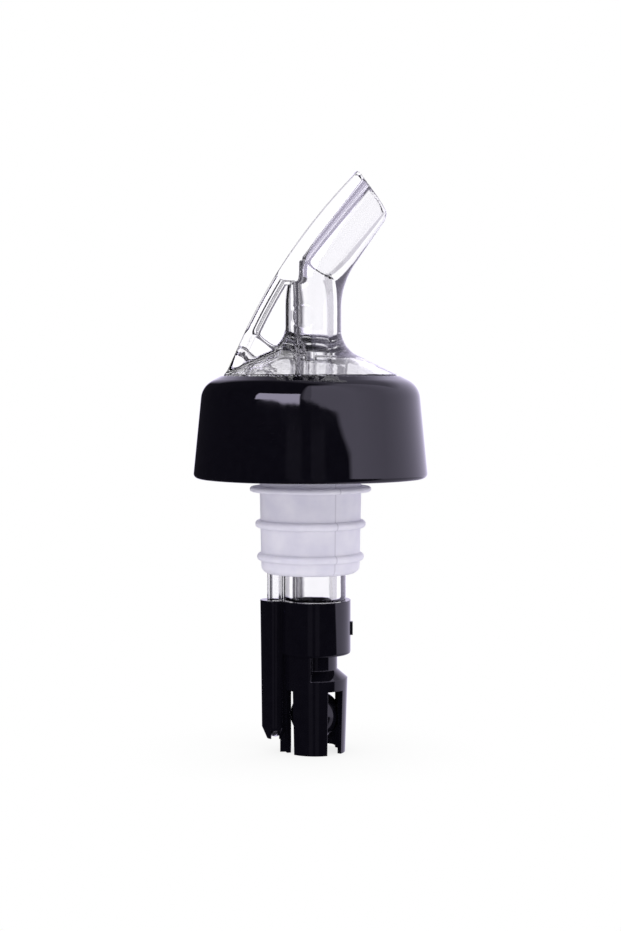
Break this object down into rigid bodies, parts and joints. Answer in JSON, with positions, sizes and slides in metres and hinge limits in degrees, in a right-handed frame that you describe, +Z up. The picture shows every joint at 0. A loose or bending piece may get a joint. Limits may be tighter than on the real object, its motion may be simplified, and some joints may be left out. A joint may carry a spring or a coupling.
{
  "type": "liquor pour spout",
  "caption": "Ball-metered bottle pourer: clear bent spout on a domed disc, black collar, ribbed cork and a slotted timing cap that holds a lifting ball.",
  "frame": {"origin": "on the axis of the cork, in the plane where the cork flange rests on the bottle lip", "axes": "+Z up along the cork's axis, out of the bottle; +X the way the spout pours"},
  "size_m": [0.045, 0.045, 0.1118],
  "materials": {
    "clear_plastic": "clear, water-white, polished",
    "black_plastic": "moulded high gloss black",
    "white_polyethylene": "soft translucent white, satin",
    "black_ball": "ground black ball",
    "polished_steel": "polished ball"
  },
  "bodies": {
    "pourer": {"spout_body": "clear_plastic", "collar": "black_plastic", "cork": "white_polyethylene", "timing_cap": "black_plastic"},
    "metering_ball": {"control_ball": "black_ball"},
    "air_ball": {"breather_ball": "polished_steel"}
  },
  "joints": [
    {"name": "control_ball_lift", "type": "slide", "parent": "pourer", "child": "metering_ball", "axis": [0, 0, 1], "range_m": [0, 0.00519]},
    {"name": "breather_ball_lift", "type": "slide", "parent": "pourer", "child": "air_ball", "axis": [0, 0, 1], "range_m": [0, 0.01096]}
  ]
}
